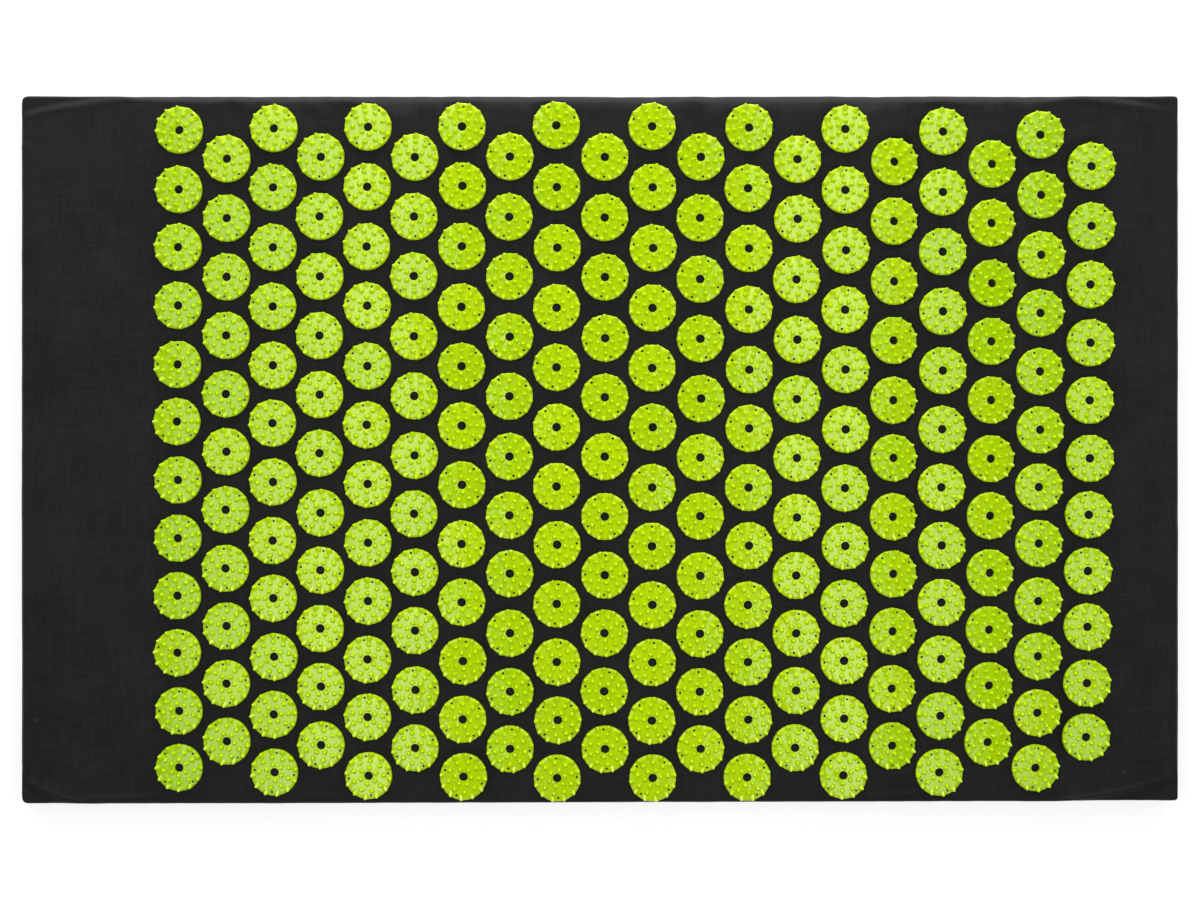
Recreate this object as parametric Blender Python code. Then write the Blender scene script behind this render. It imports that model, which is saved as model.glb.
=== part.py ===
"""Acupressure mat: a foam slab in a sewn fabric cover, with columns of moulded spike discs on top.

The mat lies flat, +Z up, its length along X and its width along Y. The origin is at the middle
of its underside. The cover opens underneath, near the left end, where a flap closes with hook
and loop tape.
"""

import math

import bmesh
import bpy

# Driving sizes, in metres
MAT_LENGTH = 0.660
MAT_WIDTH = 0.4025
FOAM_THICKNESS = 0.020
FABRIC_THICKNESS = 0.0008
SEAT_GAP = 0.0003
EDGE_ROLL = 0.005
SEAM_CORNER_RADIUS = 0.003
TOP_CORNER_RADIUS = 0.005

# Closure under the left end
BORDER = 0.002
OPENING_LENGTH = 0.037
TAPE_WIDTH = 0.025
TAPE_THICKNESS = 0.0009
TAPE_MARGIN = 0.006
FLAP_SIDE_GAP = 0.001
FLAP_CORNER_CUT = 0.008
HEM_RAMP = 0.012

# Spike discs
DISC_DIAMETER = 0.027
DISC_HOLE_DIAMETER = 0.0047
DISC_HOLE_FLOOR = 0.0003
DOME_HEIGHT = 0.0028
VALLEY_HEIGHT = 0.0023
VALLEY_RING_DIAMETER = 0.018
SPIKE_HEIGHT = 0.005
SPIKE_RING_DIAMETER = 0.025
BOND_STRIP_HEIGHT = 0.0004

# Field of discs: the columns run along Y, one after another along X
LEFT_MARGIN = 0.0923
RIGHT_MARGIN = 0.0545
ROW_MARGIN = 0.0175
FIELD_SHIFT = -0.0018
DISC_CLEARANCE = 0.004

# Shares: how the spacing drifts along the mat, and how wide a disc's cells are
COLUMN_DRIFT_SHARE = 0.0227
ROW_BOW_SHARE = 0.12
ROW_BOW_CENTRE_SHARE = 0.44
BONDED_CELL_SHARE = 20 / 360

# Counts
CORNER_STEPS = 3
ROLL_STEPS = 4
CELL_COUNT = 12

# Heights of the layers, from the floor up
FOAM_BOTTOM = FABRIC_THICKNESS + SEAT_GAP
COVER_TOP = FOAM_BOTTOM + FOAM_THICKNESS + SEAT_GAP + FABRIC_THICKNESS
SEAM_HEIGHT = COVER_TOP / 2
LOOP_BOTTOM = FABRIC_THICKNESS + SEAT_GAP
HOOK_BOTTOM = LOOP_BOTTOM + TAPE_THICKNESS + SEAT_GAP
HEM_LIFT = HOOK_BOTTOM + TAPE_THICKNESS + SEAT_GAP
DISC_BOTTOM = COVER_TOP + SEAT_GAP

# Places along X and Y where the underside changes level
FLAT_INSET = EDGE_ROLL + TOP_CORNER_RADIUS + BORDER
HINGE_X = -MAT_LENGTH / 2 + FLAT_INSET
HEM_START_X = HINGE_X + OPENING_LENGTH
HEM_END_X = HEM_START_X + TAPE_WIDTH + 2 * TAPE_MARGIN
RAMP_END_X = HEM_END_X + HEM_RAMP
RAMP_HALF_WIDTH = MAT_WIDTH / 2 - FLAT_INSET
POCKET_HALF_WIDTH = RAMP_HALF_WIDTH - HEM_RAMP
LEVEL_LINES = (
    (HINGE_X, HEM_START_X, HEM_END_X, RAMP_END_X),
    (-RAMP_HALF_WIDTH, -POCKET_HALF_WIDTH, POCKET_HALF_WIDTH, RAMP_HALF_WIDTH),
)

FABRIC_COLOUR = (0.019, 0.019, 0.020, 1.0)
FOAM_COLOUR = (0.80, 0.78, 0.70, 1.0)
TAPE_COLOUR = (0.012, 0.012, 0.013, 1.0)
DISC_COLOUR = (0.43, 0.67, 0.02, 1.0)


def clear_scene():
    for item in list(bpy.data.objects):
        bpy.data.objects.remove(item, do_unlink=True)


def make_material(name, colour, roughness, metallic=0.0):
    material = bpy.data.materials.new(name)
    material.use_nodes = True
    shader = material.node_tree.nodes["Principled BSDF"]
    shader.inputs["Base Color"].default_value = colour
    shader.inputs["Roughness"].default_value = roughness
    shader.inputs["Metallic"].default_value = metallic
    material.diffuse_color = colour
    return material


def place(name, bm, material, location=(0.0, 0.0, 0.0), parent=None, sharp_degrees=40.0):
    """Turn a closed bmesh into a named object, shaded smooth up to a sharp angle."""
    bmesh.ops.triangulate(bm, faces=bm.faces[:])
    bmesh.ops.recalc_face_normals(bm, faces=bm.faces[:])
    mesh = bpy.data.meshes.new(name)
    bm.to_mesh(mesh)
    bm.free()
    mesh.shade_smooth()
    mesh.set_sharp_from_angle(angle=math.radians(sharp_degrees))
    mesh.materials.append(material)
    item = bpy.data.objects.new(name, mesh)
    item.location = location
    item.parent = parent
    bpy.context.scene.collection.objects.link(item)
    return item


def outline(inset, x_stations, y_stations):
    """Points round the mat, anticlockwise from its front left corner, with rounder corners inwards.

    Each corner comes as one list, and so does each station on a side.
    """
    radius = SEAM_CORNER_RADIUS + (TOP_CORNER_RADIUS - SEAM_CORNER_RADIUS) * inset / EDGE_ROLL
    half_x = MAT_LENGTH / 2 - inset
    half_y = MAT_WIDTH / 2 - inset
    corners = ((-1, -1), (1, -1), (1, 1), (-1, 1))
    sides = (
        [(x, -half_y) for x in x_stations],
        [(half_x, y) for y in y_stations],
        [(x, half_y) for x in reversed(x_stations)],
        [(-half_x, y) for y in reversed(y_stations)],
    )
    groups = []
    for turn, (side_x, side_y) in enumerate(corners):
        arc = []
        for step in range(CORNER_STEPS + 1):
            angle = math.pi * (1 + turn / 2) + math.pi / 2 * step / CORNER_STEPS
            x = side_x * (half_x - radius) + radius * math.cos(angle)
            y = side_y * (half_y - radius) + radius * math.sin(angle)
            arc.append((x, y))
        groups.append(arc)
        groups.extend([point] for point in sides[turn])
    return groups


def roll_profile(offset, rise):
    """Inset and height above the seam of each ring, from the seam over the rolled edge."""
    reach = EDGE_ROLL - offset
    for step in range(ROLL_STEPS + 1):
        angle = math.pi / 2 * step / ROLL_STEPS
        yield offset + reach * (1 - math.cos(angle)), rise * math.sin(angle)


def add_ring(bm, groups, height):
    return [[bm.verts.new((x, y, height)) for x, y in group] for group in groups]


def flatten(groups):
    return [vertex for group in groups for vertex in group]


def bridge(bm, low, high):
    """Quads between two rings with the same number of points."""
    low, high = flatten(low), flatten(high)
    for i in range(len(low)):
        j = (i + 1) % len(low)
        bm.faces.new((low[i], low[j], high[j], high[i]))


def add_rolled_edge(bm, offset, start, rise, lines=((), ())):
    """Rings from the seam over the rolled edge. Returns the first ring and the last."""
    rings = []
    for inset, height in roll_profile(offset, rise):
        groups = outline(inset, *lines)
        rings.append(add_ring(bm, groups, start + height))
    for low, high in zip(rings, rings[1:]):
        bridge(bm, low, high)
    return rings[0], rings[-1]


def underside_lift(column, row):
    """How far the underside rises at a station of the level lines, over the hem and its tapes."""
    return HEM_LIFT if column in (2, 3) and row in (2, 3) else 0.0


def fill_underside(bm, ring, height, with_opening):
    """Close the underside inside a ring, raised over the hem, and return the opening's corners."""
    x_lines, y_lines = LEVEL_LINES
    columns, rows = len(x_lines), len(y_lines)
    front, right, back, left = 0, columns + 1, columns + rows + 2, 2 * columns + rows + 3
    grid = {
        (0, 0): ring[front],
        (columns + 1, 0): ring[right],
        (columns + 1, rows + 1): ring[back],
        (0, rows + 1): ring[left],
    }
    for i in range(columns):
        grid[i + 1, 0] = ring[front + 1 + i]
        grid[i + 1, rows + 1] = ring[back + columns - i]
        for j in range(rows):
            lift = underside_lift(i + 1, j + 1)
            grid[i + 1, j + 1] = [bm.verts.new((x_lines[i], y_lines[j], height + lift))]
    for j in range(rows):
        grid[columns + 1, j + 1] = ring[right + 1 + j]
        grid[0, j + 1] = ring[left + rows - j]
    for i in range(columns + 1):
        for j in range(rows + 1):
            if with_opening and (i, j) == (1, 2):
                continue
            bm.faces.new(grid[i, j] + grid[i + 1, j] + grid[i + 1, j + 1] + grid[i, j + 1])
    return grid[1, 2] + grid[2, 2] + grid[2, 3] + grid[1, 3]


def make_cover_top():
    """The top panel: an outer skin and an inner one, joined along the seam."""
    bm = bmesh.new()
    start = SEAM_HEIGHT + SEAT_GAP / 2
    seams = []
    for offset in (0.0, FABRIC_THICKNESS):
        seam, top = add_rolled_edge(bm, offset, start, COVER_TOP - offset - start)
        bm.faces.new(flatten(top))
        seams.append(seam)
    bridge(bm, *seams)
    place("cover_top_panel", bm, make_material("cover_top_fabric", FABRIC_COLOUR, 0.95))


def make_cover_back():
    """The back panel: two skins, joined along the seam and round the opening."""
    bm = bmesh.new()
    start = SEAM_HEIGHT - SEAT_GAP / 2
    seams, openings = [], []
    for offset in (0.0, FABRIC_THICKNESS):
        seam, bottom = add_rolled_edge(bm, offset, start, offset - start, LEVEL_LINES)
        openings.append([fill_underside(bm, bottom, offset, with_opening=True)])
        seams.append(seam)
    bridge(bm, *seams)
    bridge(bm, *openings)
    place("cover_back_panel", bm, make_material("cover_back_fabric", FABRIC_COLOUR, 0.95))


def make_foam():
    bm = bmesh.new()
    offset = FABRIC_THICKNESS + SEAT_GAP
    rise = FOAM_THICKNESS / 2
    seam, top = add_rolled_edge(bm, offset, SEAM_HEIGHT, rise, LEVEL_LINES)
    bm.faces.new(flatten(top))
    low_seam, bottom = add_rolled_edge(bm, offset, SEAM_HEIGHT, -rise, LEVEL_LINES)
    fill_underside(bm, bottom, FOAM_BOTTOM, with_opening=False)
    pairs = dict(zip(flatten(low_seam), flatten(seam)))
    bmesh.ops.weld_verts(bm, targetmap=pairs)
    place("foam_core", bm, make_material("core_foam", FOAM_COLOUR, 1.0))


def add_slab(bm, points, bottom, thickness):
    """A flat slab over an outline given anticlockwise."""
    low = [bm.verts.new((x, y, bottom)) for x, y in points]
    high = [bm.verts.new((x, y, bottom + thickness)) for x, y in points]
    bm.faces.new(list(reversed(low)))
    bm.faces.new(high)
    bridge(bm, [low], [high])


def make_flap():
    """The flap, drawn from its hinge line, where its object and the joint's axis lie."""
    hinge = bpy.data.objects.new("flap_hinge_line", None)
    hinge.location = (HINGE_X + SEAT_GAP, 0.0, 0.0)
    bpy.context.scene.collection.objects.link(hinge)
    half_y = POCKET_HALF_WIDTH - FLAP_SIDE_GAP
    reach = HEM_END_X - HINGE_X - SEAT_GAP
    cut = FLAP_CORNER_CUT
    points = (
        (0.0, -half_y),
        (reach - cut, -half_y),
        (reach, -half_y + cut),
        (reach, half_y - cut),
        (reach - cut, half_y),
        (0.0, half_y),
    )
    bm = bmesh.new()
    add_slab(bm, points, 0.0, FABRIC_THICKNESS)
    fabric = make_material("flap_fabric", FABRIC_COLOUR, 0.95)
    place("closure_flap", bm, fabric, parent=hinge)

    tape_start = reach - TAPE_MARGIN - TAPE_WIDTH
    bm = bmesh.new()
    add_slab(bm, tape_outline(tape_start), LOOP_BOTTOM, TAPE_THICKNESS)
    pile = make_material("loop_tape_pile", TAPE_COLOUR, 0.9)
    place("closure_loop_tape", bm, pile, parent=hinge)


def tape_outline(start):
    """A tape's outline, from its edge nearest the hinge. It ends short of the flap's cut corners."""
    half_y = POCKET_HALF_WIDTH - FLAP_SIDE_GAP - FLAP_CORNER_CUT
    end = start + TAPE_WIDTH
    return ((start, -half_y), (end, -half_y), (end, half_y), (start, half_y))


def make_hook_tape():
    bm = bmesh.new()
    add_slab(bm, tape_outline(HEM_END_X - TAPE_MARGIN - TAPE_WIDTH), HOOK_BOTTOM, TAPE_THICKNESS)
    place("closure_hook_tape", bm, make_material("hook_tape_hooks", TAPE_COLOUR, 0.6))


def cell_angles():
    """Boundaries between a disc's spike cells; the bonded cells face +Y and -Y."""
    bonded = 2 * math.pi * BONDED_CELL_SHARE
    plain_cells = CELL_COUNT // 2 - 1
    plain = (math.pi - bonded) / plain_cells
    angles = []
    for start in (-math.pi / 2 + bonded / 2, math.pi / 2 + bonded / 2):
        angles.extend(start + plain * step for step in range(plain_cells + 1))
    return angles


def circle_point(diameter, angle, centre_y, height):
    radius = diameter / 2
    return (radius * math.cos(angle), centre_y + radius * math.sin(angle), height)


def add_disc(bm, centre_y, bond_front, bond_back):
    """One moulded disc: a ring of spikes round a dome with a hole.

    Where a neighbour follows, the face of that side's cell is left open for the bond strip, and
    its three corners are returned: right, top and left for a viewer at -Y.
    """
    angles = cell_angles()
    ends = [angles[(cell + 1) % CELL_COUNT] for cell in range(CELL_COUNT)]
    rim = [bm.verts.new(circle_point(DISC_DIAMETER, a, centre_y, 0.0)) for a in angles]
    valleys = [
        bm.verts.new(circle_point(VALLEY_RING_DIAMETER, a, centre_y, VALLEY_HEIGHT))
        for a in angles[::2]
    ]
    hole = [
        bm.verts.new(circle_point(DISC_HOLE_DIAMETER, a, centre_y, DOME_HEIGHT))
        for a in angles[::2]
    ]
    floor = bm.verts.new((0.0, centre_y, DISC_HOLE_FLOOR))
    bm.faces.new(list(reversed(rim)))
    corners = {}
    last_cell = CELL_COUNT - 1
    bonded_cells = {last_cell: bond_front, CELL_COUNT // 2 - 1: bond_back}
    for cell in range(CELL_COUNT):
        start, end = angles[cell], ends[cell]
        middle = start + (end - start) % (2 * math.pi) / 2
        tip = bm.verts.new(circle_point(SPIKE_RING_DIAMETER, middle, centre_y, SPIKE_HEIGHT))
        outer, following = rim[cell], rim[(cell + 1) % CELL_COUNT]
        if cell % 2 == 0:
            base = [outer, following, valleys[cell // 2]]
        else:
            near, far = valleys[cell // 2], valleys[(cell // 2 + 1) % len(valleys)]
            base = [outer, following, far, near]
        for i, corner in enumerate(base):
            pair = (corner, base[(i + 1) % len(base)])
            if i == 0 and bonded_cells.get(cell):
                share = BOND_STRIP_HEIGHT / SPIKE_HEIGHT
                foot = (pair[0].co + pair[1].co) / 2
                crest = bm.verts.new(foot.lerp(tip.co, share))
                bm.faces.new((pair[0], crest, tip))
                bm.faces.new((crest, pair[1], tip))
                corners[cell] = (pair[0], crest, pair[1])
            else:
                bm.faces.new((*pair, tip))
    for i in range(len(valleys)):
        j = (i + 1) % len(valleys)
        bm.faces.new((valleys[i], valleys[j], hole[j], hole[i]))
        bm.faces.new((hole[i], hole[j], floor))
    front = tuple(reversed(corners.get(last_cell, ())))
    return front, corners.get(CELL_COUNT // 2 - 1, ())


def add_bond_strip(bm, near, far):
    """The low ridge of adhesive that joins a disc to the next one along the column."""
    right, crest, left = near
    far_right, far_crest, far_left = far
    bm.faces.new((right, far_right, far_crest, crest))
    bm.faces.new((crest, far_crest, far_left, left))
    bm.faces.new((right, left, far_left, far_right))


def make_disc_column(name, x, centre_y, count, pitch, plastic):
    bm = bmesh.new()
    previous = None
    for place_in_column in range(count):
        y = (place_in_column - (count - 1) / 2) * pitch
        first = place_in_column == 0
        last = place_in_column == count - 1
        front, back = add_disc(bm, y, not first, not last)
        if previous:
            add_bond_strip(bm, previous, front)
        previous = back
    place(name, bm, plastic, location=(x, centre_y, DISC_BOTTOM), sharp_degrees=25.0)


def make_disc_field():
    """As many discs as fit, in columns staggered by half a pitch, so that they nest.

    The columns are wider spaced towards the right, and the rows closest at the two ends.
    """
    span_x = MAT_LENGTH - LEFT_MARGIN - RIGHT_MARGIN
    span_y = MAT_WIDTH - 2 * ROW_MARGIN
    least_distance = DISC_DIAMETER + DISC_CLEARANCE
    row_count = 1 + math.floor(span_y / least_distance)
    row_pitch = span_y / (row_count - 1)
    nested_pitch = math.sqrt(least_distance**2 - (row_pitch / 2) ** 2)
    column_count = 1 + math.floor(span_x / nested_pitch)
    plastic = make_material("disc_plastic", DISC_COLOUR, 0.25)
    for column in range(column_count):
        along = column / (column_count - 1)
        x = -MAT_LENGTH / 2 + LEFT_MARGIN + span_x * (along + COLUMN_DRIFT_SHARE * (along**2 - along))
        squeeze = 1 - ROW_BOW_SHARE * (along - ROW_BOW_CENTRE_SHARE) ** 2
        count = row_count - column % 2
        name = f"spike_disc_column_{column + 1:02d}"
        make_disc_column(name, x, FIELD_SHIFT, count, row_pitch * squeeze, plastic)


clear_scene()
make_foam()
make_cover_back()
make_cover_top()
make_hook_tape()
make_flap()
make_disc_field()
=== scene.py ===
"""Acupressure mat: a sewn cloth cover over a foam slab, with columns of moulded spike discs."""

import math
import random

import bmesh
import bpy
import numpy as np
from mathutils import Matrix, Vector, noise


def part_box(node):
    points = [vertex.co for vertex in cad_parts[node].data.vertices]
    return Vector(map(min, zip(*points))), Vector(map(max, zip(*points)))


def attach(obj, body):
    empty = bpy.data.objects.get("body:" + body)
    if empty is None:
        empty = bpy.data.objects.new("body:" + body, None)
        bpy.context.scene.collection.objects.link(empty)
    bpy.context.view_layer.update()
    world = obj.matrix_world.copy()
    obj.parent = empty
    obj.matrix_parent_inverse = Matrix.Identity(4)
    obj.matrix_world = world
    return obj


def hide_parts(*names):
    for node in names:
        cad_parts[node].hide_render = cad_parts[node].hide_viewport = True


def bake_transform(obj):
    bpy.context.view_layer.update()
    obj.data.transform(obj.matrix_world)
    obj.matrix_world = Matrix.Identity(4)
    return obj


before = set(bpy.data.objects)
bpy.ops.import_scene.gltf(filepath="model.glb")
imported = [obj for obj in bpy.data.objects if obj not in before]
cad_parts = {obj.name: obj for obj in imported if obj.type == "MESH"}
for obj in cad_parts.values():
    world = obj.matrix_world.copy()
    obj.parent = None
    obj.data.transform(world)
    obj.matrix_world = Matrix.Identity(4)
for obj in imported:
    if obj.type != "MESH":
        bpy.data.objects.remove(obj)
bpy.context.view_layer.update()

MM = 0.001
DISC_COLUMNS = sorted(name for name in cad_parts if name.startswith("spike_disc_column"))

# Heights and half sizes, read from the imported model
TOP_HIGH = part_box("cover_top_panel")[1]
FLAP_LOW, FLAP_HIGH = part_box("closure_flap")
HOOK_LOW, HOOK_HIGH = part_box("closure_hook_tape")
LOOP_LOW, LOOP_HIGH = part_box("closure_loop_tape")
FOAM_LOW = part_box("foam_core")[0]
DISC_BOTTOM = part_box(DISC_COLUMNS[0])[0].z
HALF_LENGTH = TOP_HIGH.x
HALF_WIDTH = TOP_HIGH.y
COVER_TOP = TOP_HIGH.z
SEAM_HEIGHT = COVER_TOP / 2

# Cloth
CLOTH_THICKNESS = 0.8 * MM
EDGE_ROLL = 5 * MM
CORNER_SQUARE = 8 * MM
LEFT_CORNER_SHARPNESS = 4.0
RIGHT_CORNER_SHARPNESS = 8.0
SEAM_TUCK = 1.1 * MM
SEAM_PINCH = 0.75 * MM
END_SETBACK = 0.9 * MM
SIDE_REACH = 0.4 * MM
ROLL_LINES = 9
RIGHT_END_TAPER = 1.8 * MM

# Closure under the left end
FLAP_END = FLAP_HIGH.x
OPENING_EDGE = FLAP_LOW.x - 0.3 * MM
HEM_EDGE = HOOK_LOW.x - 6 * MM
HEM_RAMP = 12 * MM
HEM_LENGTH = 37 * MM
POCKET_HALF_WIDTH = FLAP_HIGH.y + 1 * MM
HEM_LIFT = HOOK_HIGH.z + 0.3 * MM

# Discs
FIELD_HALF_WIDTH = 183 * MM
DISC_RADIUS = 13.5 * MM
DISC_END_REACH = 13.3 * MM
PIN_RADIUS = 0.72 * MM
PIN_RING = 11.1 * MM
SPIKE_TOP = 5 * MM
SPIKE_SIDES = 8
PLATE_STEPS = 36


def link(name, mesh):
    item = bpy.data.objects.new(name, mesh)
    bpy.context.scene.collection.objects.link(item)
    return item


def mesh_from(name, bm):
    """Close a bmesh and keep it as a mesh."""
    mesh = bpy.data.meshes.new(name)
    bm.to_mesh(mesh)
    bm.free()
    return mesh


def face_outwards(bm, side=0):
    """Make the normals agree. Side 1 turns the faces of an open sheet up, and side -1 down."""
    bmesh.ops.recalc_face_normals(bm, faces=bm.faces[:])
    if side * sum(face.normal.z for face in bm.faces) < 0:
        bmesh.ops.reverse_faces(bm, faces=bm.faces[:])


def finish_piece(name, bm, material, sharp_degrees=None):
    """Turn a bmesh into a smooth-shaded object at the origin, with its material."""
    mesh = mesh_from(name, bm)
    mesh.shade_smooth()
    if sharp_degrees:
        mesh.set_sharp_from_angle(angle=math.radians(sharp_degrees))
    mesh.materials.append(material)
    return link(name, mesh)


def smoothstep(t):
    t = np.clip(t, 0.0, 1.0)
    return t * t * (3 - 2 * t)


# Shader helpers


def new_group(name, inputs, outputs):
    """A shader node group with float inputs and named outputs."""
    group = bpy.data.node_groups.new(name, "ShaderNodeTree")
    for label, value in inputs:
        kind = "NodeSocketVector" if label == "Vector" else "NodeSocketFloat"
        socket = group.interface.new_socket(label, in_out="INPUT", socket_type=kind)
        if value is not None:
            socket.default_value = value
    for label, kind in outputs:
        group.interface.new_socket(label, in_out="OUTPUT", socket_type=kind)
    tree = Tree(group)
    tree.source = group.nodes.new("NodeGroupInput")
    tree.sink = group.nodes.new("NodeGroupOutput")
    return tree


class Tree:
    """Short ways to add and join nodes in one node tree."""

    def __init__(self, tree):
        self.tree = tree

    def add(self, kind, settings=None, **inputs):
        node = self.tree.nodes.new(kind)
        for key, value in (settings or {}).items():
            setattr(node, key, value)
        for key, value in inputs.items():
            self.feed(node, key.replace("_", " "), value)
        return node

    def feed(self, node, key, value):
        socket = node.inputs[int(key)] if key.isdigit() else node.inputs[key]
        if isinstance(value, bpy.types.NodeSocket):
            self.tree.links.new(value, socket)
        else:
            socket.default_value = value

    def math(self, operation, a, b=0.0, clamp=False):
        node = self.tree.nodes.new("ShaderNodeMath")
        node.operation = operation
        node.use_clamp = clamp
        self.feed(node, "0", a)
        self.feed(node, "1", b)
        return node.outputs[0]

    def span(self, value, low, high, new_low=0.0, new_high=1.0):
        node = self.tree.nodes.new("ShaderNodeMapRange")
        node.interpolation_type = "SMOOTHSTEP"
        self.feed(node, "Value", value)
        node.inputs["From Min"].default_value = low
        node.inputs["From Max"].default_value = high
        node.inputs["To Min"].default_value = new_low
        node.inputs["To Max"].default_value = new_high
        return node.outputs[0]

    def blend_colour(self, factor, a, b):
        node = self.tree.nodes.new("ShaderNodeMix")
        node.data_type = "RGBA"
        self.feed(node, "0", factor)
        self.feed(node, "6", a)
        self.feed(node, "7", b)
        return node.outputs[2]


def noise_of(tree, vector, scale, detail=2.0, roughness=0.5):
    node = tree.add("ShaderNodeTexNoise", Vector=vector, Scale=scale, Detail=detail)
    node.inputs["Roughness"].default_value = roughness
    return node.outputs["Fac"]


def build_weave_group():
    """Plain weave with slubs: a thread height, a tone that varies by thread, and specks of dust."""
    tree = new_group(
        "plain_weave",
        [("Vector", None), ("Threads per metre", 3300.0), ("Slub", 0.5), ("Dust", 0.5)],
        [
            ("Height", "NodeSocketFloat"),
            ("Tone", "NodeSocketFloat"),
            ("Specks", "NodeSocketFloat"),
        ],
    )
    source = tree.source.outputs
    split = tree.add("ShaderNodeSeparateXYZ", Vector=source["Vector"])
    waves = []
    for axis in ("X", "Y"):
        turn = tree.math("MULTIPLY", split.outputs[axis], source["Threads per metre"])
        waves.append(tree.math("SINE", tree.math("MULTIPLY", turn, math.pi)))
    height = tree.math("MULTIPLY", waves[0], waves[1])
    stretched = []
    for scale in ((1.0, 14.0, 1.0), (14.0, 1.0, 1.0)):
        threads = tree.add("ShaderNodeMapping", Vector=source["Vector"], Scale=scale)
        stretched.append(noise_of(tree, threads.outputs[0], 70.0, 3.0, 0.6))
    slub = tree.math("ADD", stretched[0], stretched[1])
    cloud = noise_of(tree, source["Vector"], 28.0, 3.0, 0.55)
    tone = tree.math("MULTIPLY", tree.math("SUBTRACT", slub, 1.0), source["Slub"])
    tone = tree.math("ADD", tone, tree.math("SUBTRACT", cloud, 0.5))
    cells = tree.add("ShaderNodeTexVoronoi", Vector=source["Vector"], Scale=45.0)
    near = tree.span(cells.outputs["Distance"], 0.05, 0.012)
    chosen = tree.math("GREATER_THAN", noise_of(tree, source["Vector"], 19.0, 0.0), 0.60)
    specks = tree.math("MULTIPLY", tree.math("MULTIPLY", near, chosen), source["Dust"])
    tree.feed(tree.sink, "Height", height)
    tree.feed(tree.sink, "Tone", tone)
    tree.feed(tree.sink, "Specks", specks)
    return tree.tree


def build_grain_group():
    """Fine uneven surface of moulded plastic or foam: a height, and a cloudy mask."""
    tree = new_group(
        "fine_grain",
        [("Vector", None), ("Scale", 900.0), ("Cloud scale", 120.0)],
        [("Height", "NodeSocketFloat"), ("Cloud", "NodeSocketFloat")],
    )
    source = tree.source.outputs
    fine = tree.add("ShaderNodeTexNoise", Vector=source["Vector"], Scale=source["Scale"])
    fine.inputs["Detail"].default_value = 3.0
    cloud = tree.add("ShaderNodeTexNoise", Vector=source["Vector"], Scale=source["Cloud scale"])
    cloud.inputs["Detail"].default_value = 2.0
    tree.feed(tree.sink, "Height", fine.outputs["Fac"])
    tree.feed(tree.sink, "Cloud", cloud.outputs["Fac"])
    return tree.tree


WEAVE = build_weave_group()
GRAIN = build_grain_group()


def new_material(name):
    material = bpy.data.materials.new(name)
    material.use_nodes = True
    tree = Tree(material.node_tree)
    shader = material.node_tree.nodes["Principled BSDF"]
    place = tree.add("ShaderNodeTexCoord").outputs["Object"]
    return material, tree, shader, place


def use_group(tree, group, vector, **values):
    node = tree.add("ShaderNodeGroup", {"node_tree": group}, Vector=vector)
    for key, value in values.items():
        tree.feed(node, key.replace("_", " "), value)
    return node.outputs


def add_bump(tree, shader, height, distance, strength=1.0):
    bump = tree.add("ShaderNodeBump", Height=height, Distance=distance, Strength=strength)
    tree.feed(shader, "Normal", bump.outputs[0])


def cloth_material(name, colour, tone_depth, dust, roughness=0.60):
    """Black polyester cotton: a plain weave, slightly uneven dye, a faint sheen and some lint."""
    material, tree, shader, place = new_material(name)
    weave = use_group(tree, WEAVE, place, Slub=1.2, Dust=dust)
    dark = (*[c * (1 - tone_depth) for c in colour], 1.0)
    light = (*[c * (1 + tone_depth) for c in colour], 1.0)
    tone = tree.span(weave["Tone"], -0.35, 0.35)
    base = tree.blend_colour(tone, dark, light)
    base = tree.blend_colour(weave["Specks"], base, (0.035, 0.035, 0.035, 1.0))
    tree.feed(shader, "Base Color", base)
    matte = tree.span(weave["Tone"], -0.5, 0.5, roughness - 0.05, roughness + 0.05)
    tree.feed(shader, "Roughness", matte)
    shader.inputs["Specular IOR Level"].default_value = 0.13
    shader.inputs["Sheen Weight"].default_value = 0.01
    shader.inputs["Sheen Roughness"].default_value = 0.4
    add_bump(tree, shader, weave["Height"], 0.05 * MM, 0.6)
    return material


def plastic_material(name):
    """Glossy lime plastic. Its shade differs from disc to disc, and the spikes are painted
    brighter: painted light that makes up for the shade on their steep sides and for light through
    the thin plastic.
    """
    material, tree, shader, place = new_material(name)
    grain = use_group(tree, GRAIN, place, Scale=1400.0, Cloud_scale=190.0)
    spike = tree.add("ShaderNodeAttribute", {"attribute_name": "spike"}).outputs["Fac"]
    batch = tree.add("ShaderNodeAttribute", {"attribute_name": "batch"}).outputs["Fac"]
    plate = tree.blend_colour(batch, (0.350, 0.570, 0.0, 1.0), (0.486, 0.668, 0.001, 1.0))
    # the spike mask paints the spikes and the hole's rim a brighter lime than the plate: painted
    # light, not a second plastic
    base = tree.blend_colour(spike, plate, (0.470, 0.690, 0.0, 1.0))
    mottle = tree.span(grain["Cloud"], 0.35, 0.65, 0.0, 0.12)
    base = tree.blend_colour(mottle, base, (0.30, 0.51, 0.002, 1.0))
    tree.feed(shader, "Base Color", base)
    polish = tree.span(grain["Cloud"], 0.3, 0.7, 0.07, 0.13)
    tree.feed(shader, "Roughness", tree.math("ADD", polish, tree.math("MULTIPLY", spike, 0.08)))
    shader.inputs["IOR"].default_value = 1.47
    shader.inputs["Specular IOR Level"].default_value = 0.47
    shader.inputs["Subsurface Weight"].default_value = 0.35
    shader.inputs["Subsurface Radius"].default_value = (1.0, 1.0, 0.2)
    shader.inputs["Subsurface Scale"].default_value = 0.6 * MM
    ripple = tree.math("MULTIPLY", noise_of(tree, place, 280.0, 1.0), 18.0)
    add_bump(tree, shader, tree.math("ADD", ripple, grain["Height"]), 0.02 * MM, 0.5)
    return material


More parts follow.
